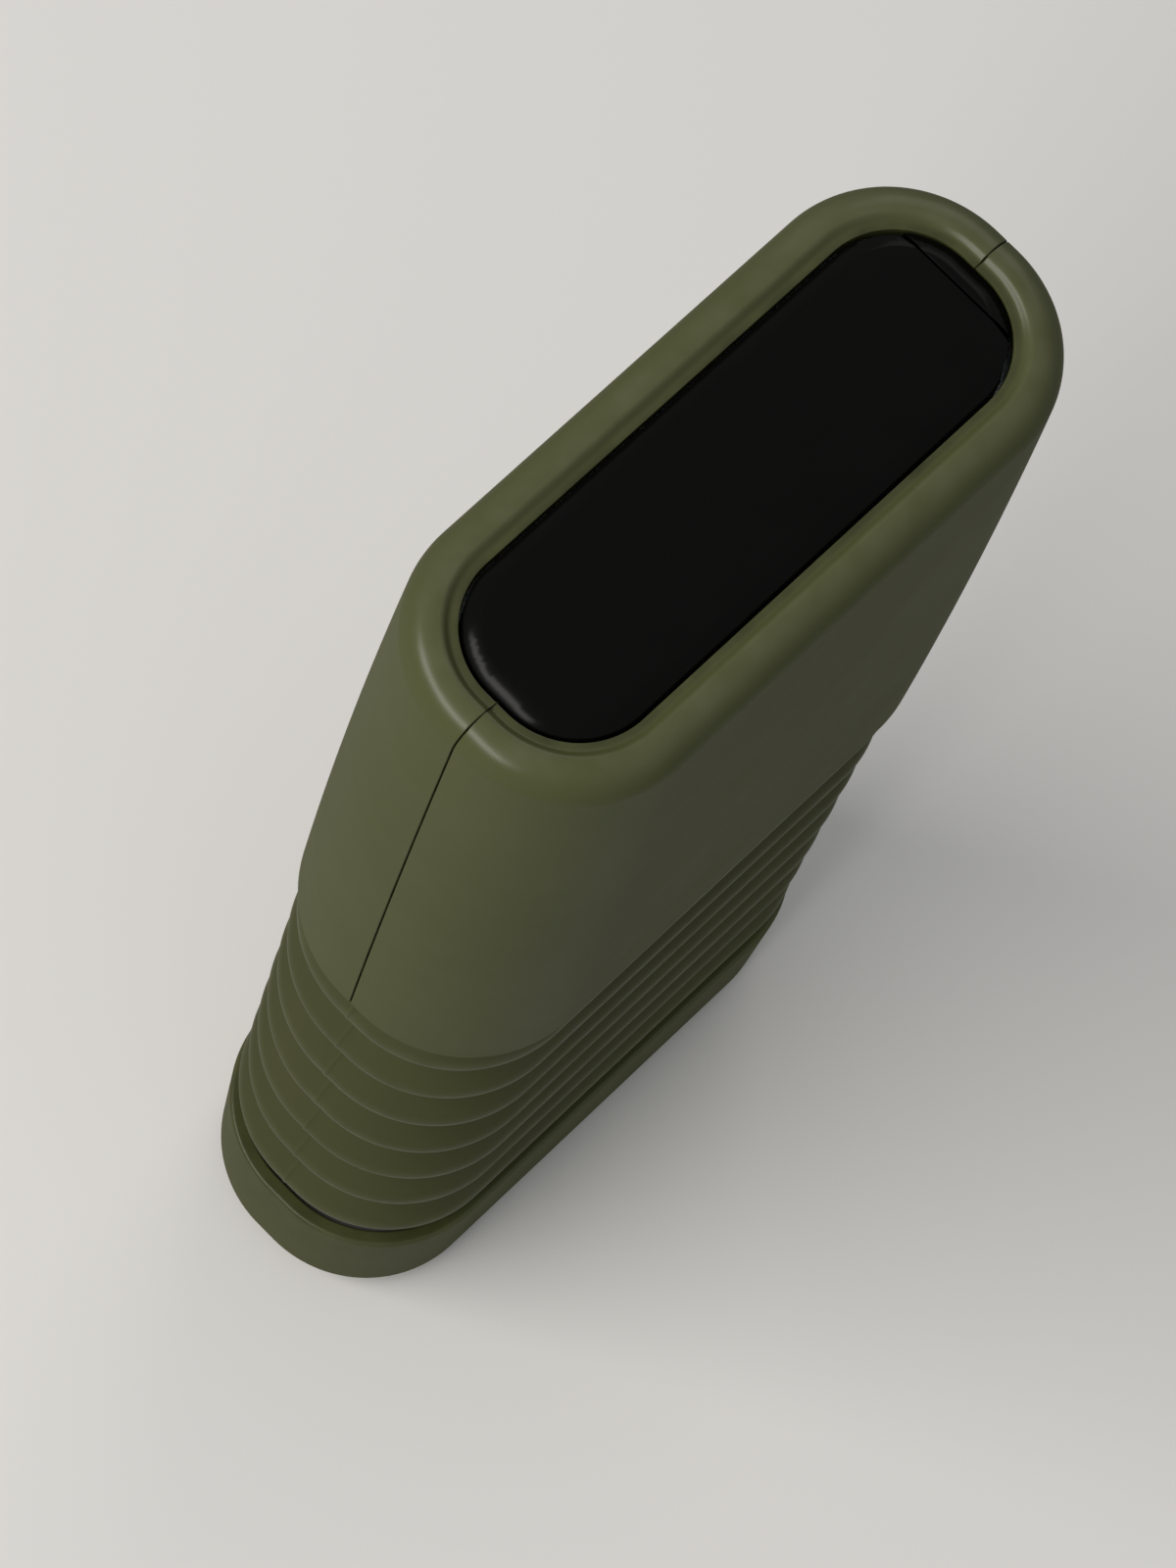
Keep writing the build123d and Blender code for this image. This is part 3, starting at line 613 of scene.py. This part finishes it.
def finish(name, colour, roughness, cell=0.0004, relief=0.00002, drift=0.25, smudge=0.12, gloss=0.0,
           place="object", worn=None, grime=None, **shader):
    """A procedural finish. cell is the grain's size and relief its height, in metres. The first tint is a
    lighter colour of wear, which on crests is also a painted highlight, and the second a darker painted shade
    for creases and hollows; each is laid on where a piece's mark of the same name is high. gloss is the
    weight of a thin clear skin, which gives a soft highlight without a strong reflection at flat angles. The
    values after that are constants of the shader's own sockets."""
    material = bpy.data.materials.new(name)
    material.use_nodes = True
    tree = material.node_tree
    tree.nodes.clear()
    if place == "object":
        at = add(tree, "TexCoord").outputs["Object"]
    else:
        at = add(tree, "Attribute", attribute_name=place, attribute_type="GEOMETRY").outputs["Vector"]
    base = use_group(tree, DRIFT, Place=at, Color=(*colour, 1), Patch=PATCH, Amount=drift).outputs["Color"]
    marks = use_group(tree, HANDLING, Place=at, Roughness=roughness, Smudge=smudge, Gloss=gloss)
    # the first tint is wear, also a painted highlight on crests; the second is painted shade in hollows
    for attribute, tint in (("worn", worn), ("grime", grime)):
        if tint:
            base = laid_on(tree, base, at, attribute, tint)
    grain = use_group(tree, GRAIN, Place=at, Cell=cell).outputs["Height"]
    bump = add(tree, "Bump", {"Height": grain, "Distance": relief, "Strength": 0.6}).outputs[0]
    values = {"Base Color": base, "Roughness": marks.outputs["Roughness"], "Normal": bump, **shader}
    if gloss:
        values["Coat Weight"] = marks.outputs["Gloss"]
    shaded = add(tree, "BsdfPrincipled", values).outputs[0]
    tree.links.new(shaded, add(tree, "OutputMaterial").inputs[0])
    return material


def matt_silicone(name, **values):
    """The bellows' silicone, with a faint bloom at flat angles."""
    return finish(name, (0.042, 0.045, 0.016), 0.55, cell=0.0007, relief=0.00003, drift=0.3, smudge=0.16,
                  place="rest_place", **{"Specular IOR Level": 0.12, "Sheen Weight": 0.03}, **values)


# lighter tint: wear plus a painted highlight on the outer crests; darker tint: painted shade in the roots
pleat_finish = matt_silicone("olive silicone", worn=(0.058, 0.062, 0.026), grime=(0.013, 0.015, 0.006))
cuff_finish = matt_silicone("olive silicone cuff")

FINISHES = {
    "case_green": finish(
        "olive satin moulding", (0.057, 0.062, 0.0225), 0.45, cell=0.00045, relief=0.000012, drift=0.16,
        # lighter tint: wear plus a painted highlight on the crest; darker tint: painted shade by the rim and
        # in the seam groove
        gloss=0.16, worn=(0.078, 0.082, 0.04), grime=(0.010, 0.011, 0.004),
        **{"Specular IOR Level": 0.0, "Coat IOR": 1.8, "Coat Roughness": 0.28}),
    "lid_black": finish(
        "black satin moulding", (0.0018, 0.0017, 0.0016), 0.40, cell=0.00035, relief=0.000006, drift=0.5,
        gloss=0.10, **{"Specular IOR Level": 0.0, "Coat Roughness": 0.19}),
    "silicone_green": pleat_finish,
    "silicone_pale": finish(
        "milky silicone", (0.50, 0.51, 0.46), 0.42, cell=0.0006, drift=0.12,
        **{"Subsurface Weight": 0.35, "Subsurface Scale": 0.003, "Specular IOR Level": 0.45}),
    "liner_clear": finish(
        "milky liner", (0.52, 0.55, 0.50), 0.30, cell=0.0006, relief=0.00001, drift=0.12,
        **{"Subsurface Weight": 0.25, "Subsurface Scale": 0.004}),
    "clamp_grey": finish("grey clamp moulding", (0.075, 0.075, 0.075), 0.45, cell=0.0005),
    "rubber_black": finish(
        "black foot rubber", (0.012, 0.012, 0.012), 0.72, cell=0.0008, relief=0.00006, drift=0.6,
        smudge=0.2, **{"Specular IOR Level": 0.3}),
    "spout_grey": finish("grey satin moulding", (0.034, 0.037, 0.034), 0.34),
    "steel_pin": finish(
        "ground steel", (0.45, 0.45, 0.44), 0.28, cell=0.00012, relief=0.000004, drift=0.15, Metallic=1.0),
    "magnet_nickel": finish(
        "nickel plate", (0.50, 0.47, 0.42), 0.22, cell=0.0005, relief=0.000004, drift=0.15, Metallic=1.0),
}


def dress(piece, slot, material=None):
    """Gives a new piece the finish of a record's slot, or the finish it is handed."""
    piece.data.materials.clear()
    piece.data.materials.append(material or FINISHES[slot])


for piece in (front_half, back_half, cup):
    dress(piece, "case_green")
dress(pleats, "silicone_green")
for piece in (upper_cuff, lower_bag):
    dress(piece, "silicone_green", cuff_finish)
for piece in soft_pieces:
    dress(piece, "silicone_pale")


# ---------------------------------------------------------------- pieces that keep their CAD shape

# the round given to each piece's edges
EASED = {"flip_cover": 0.14, "lid_deck": 0.12, "spout_arm": 0.18, "foot_pad": 0.15, "reservoir_liner": 0.2}
FLAT = math.radians(0.6)             # facets that turn by less than this are joined
SHARP = math.radians(30)             # edges that turn by more than this are rounded


def eased(node, body, slot, width):
    """A merged copy of a CAD piece with its flat facets joined, whose edges are rounded by width in
    millimetres."""
    mesh = frame["nodes"][node].data.copy()
    work = bmesh.new()
    work.from_mesh(mesh)
    bmesh.ops.remove_doubles(work, verts=work.verts, dist=MERGE)
    bmesh.ops.dissolve_degenerate(work, edges=work.edges, dist=MERGE / 2)
    bmesh.ops.dissolve_limit(work, angle_limit=FLAT, verts=work.verts, edges=work.edges)
    work.to_mesh(mesh)
    work.free()
    for left in ("custom_normal", "sharp_edge", "sharp_face"):
        if left in mesh.attributes:
            mesh.attributes.remove(mesh.attributes[left])
    mesh.shade_smooth()
    mesh.set_sharp_from_angle(angle=SHARP)
    piece = bpy.data.objects.new(node + "_eased", mesh)
    bpy.context.scene.collection.objects.link(piece)
    bevel = piece.modifiers.new("edge", "BEVEL")
    bevel.width = width * MM
    bevel.segments = 2
    bevel.limit_method = "ANGLE"
    bevel.angle_limit = SHARP
    bevel.harden_normals = True
    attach(piece, body)
    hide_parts(node)
    dress(piece, slot)


def finish_cad_pieces():
    """The CAD pieces that still show get their slot's finish, and the larger mouldings softened edges."""
    bodies = frame["record"]["behaviour"]["bodies"]
    body_of = {node: body for body, nodes in bodies.items() for node in nodes}
    for row in frame["record"]["subparts"]:
        node, slot = row["node"], row["material_slot"]
        piece = frame["nodes"][node]
        if node in EASED:
            eased(node, body_of[node], slot, EASED[node])
        elif not piece.hide_render:
            piece.data.materials.clear()
            piece.data.materials.append(FINISHES[slot])


finish_cad_pieces()


# ---------------------------------------------------------------- floor, light and camera

PALE = (0.80, 0.79, 0.77, 1)         # the backdrop's colour
AIM = Vector((0, 0, 0.12))           # what the lamps face, in metres


def seen_directly(tree):
    """1 for what the camera sees straight, in gloss or through glass, and 0 for the rays that light other
    things."""
    path = add(tree, "LightPath").outputs
    seen = maths(tree, "MAXIMUM", path["Is Camera Ray"], path["Is Glossy Ray"])
    return maths(tree, "MAXIMUM", seen, path["Is Transmission Ray"])


def floor_finish():
    """A matt pale sheet. From 0.5 m to 1.4 m out its look passes over to the room's pale backdrop."""
    material = bpy.data.materials.new("pale floor")
    material.use_nodes = True
    tree = material.node_tree
    tree.nodes.clear()
    matt = add(tree, "BsdfPrincipled", {"Base Color": (0.68, 0.665, 0.64, 1), "Roughness": 0.8,
                                        "Specular IOR Level": 0.1}).outputs[0]
    place = add(tree, "TexCoord").outputs["Object"]
    away = add(tree, "VectorMath", {0: place}, operation="LENGTH").outputs["Value"]
    far = add(tree, "MapRange", {"Value": away, "From Min": 0.5, "From Max": 1.4},
              interpolation_type="SMOOTHSTEP").outputs[0]
    faded = maths(tree, "MULTIPLY", far, seen_directly(tree))
    backdrop = add(tree, "Emission", {"Color": PALE, "Strength": 1.0}).outputs[0]
    mixed = add(tree, "MixShader", {0: faded, 1: matt, 2: backdrop}).outputs[0]
    tree.links.new(mixed, add(tree, "OutputMaterial").inputs[0])
    return material


def floor():
    """A level sheet just under z = 0, 6 m square."""
    side = np.linspace(-3.0, 3.0, 13)
    x, y = np.meshgrid(side, side, indexing="ij")
    index = np.arange(x.size).reshape(x.shape)
    faces = np.stack([index[:-1, :-1], index[1:, :-1], index[1:, 1:], index[:-1, 1:]], 2).reshape(-1, 4)
    points = np.stack([x, y, np.full_like(x, -0.00002)], 2).reshape(-1, 3)
    mesh = bpy.data.meshes.new("floor")
    mesh.from_pydata(points.tolist(), [], faces.tolist())
    mesh.materials.append(floor_finish())
    sheet = bpy.data.objects.new("floor", mesh)
    bpy.context.scene.collection.objects.link(sheet)


def lamp(name, place, size, watts, colour):
    """A rectangular soft light that faces the bottle."""
    data = bpy.data.lights.new(name, "AREA")
    data.shape = "RECTANGLE"
    data.size, data.size_y = size
    data.energy = watts
    data.color = colour
    light = bpy.data.objects.new(name, data)
    light.location = place
    light.rotation_euler = (AIM - Vector(place)).to_track_quat("-Z", "Y").to_euler()
    bpy.context.scene.collection.objects.link(light)


def room():
    """An even grey room that lights the object, seen as a pale backdrop by the camera and in reflections."""
    world = bpy.data.worlds.new("room")
    bpy.context.scene.world = world
    world.use_nodes = True
    tree = world.node_tree
    tree.nodes.clear()
    lit = add(tree, "Background", {"Color": (0.92, 0.96, 1.0, 1), "Strength": 0.36}).outputs[0]
    shown = add(tree, "Background", {"Color": PALE, "Strength": 1.0}).outputs[0]
    mixed = add(tree, "MixShader", {0: seen_directly(tree), 1: lit, 2: shown}).outputs[0]
    tree.links.new(mixed, add(tree, "OutputWorld").inputs[0])


def camera():
    """Looks down on the lid from the -X end's side, turned so that the long side rises to the right."""
    data = bpy.data.cameras.new("camera")
    data.sensor_fit = "VERTICAL"
    data.sensor_height = 36.0
    data.lens = 150.0
    data.clip_start = 0.01
    place = Vector((-0.2531, -0.0993, 0.8251))
    target = Vector((-0.004, 0.0, 0.108))
    right_hint = Vector((0.73, -0.6829, 0.0296))
    back = (place - target).normalized()
    right = (right_hint - right_hint.dot(back) * back).normalized()
    up = back.cross(right)
    eye = bpy.data.objects.new("camera", data)
    eye.matrix_world = Matrix.Translation(place) @ Matrix((right, up, back)).transposed().to_4x4()
    bpy.context.scene.collection.objects.link(eye)
    bpy.context.scene.camera = eye


floor()
room()
lamp("key", place=(-0.84, 0.38, 0.95), size=(1.3, 0.28), watts=16.5, colour=(1.0, 0.98, 0.95))
lamp("fill", place=(0.98, 0.36, 0.75), size=(0.8, 0.6), watts=2.5, colour=(1.0, 0.97, 0.94))
camera()
bpy.context.scene.view_settings.view_transform = "Standard"
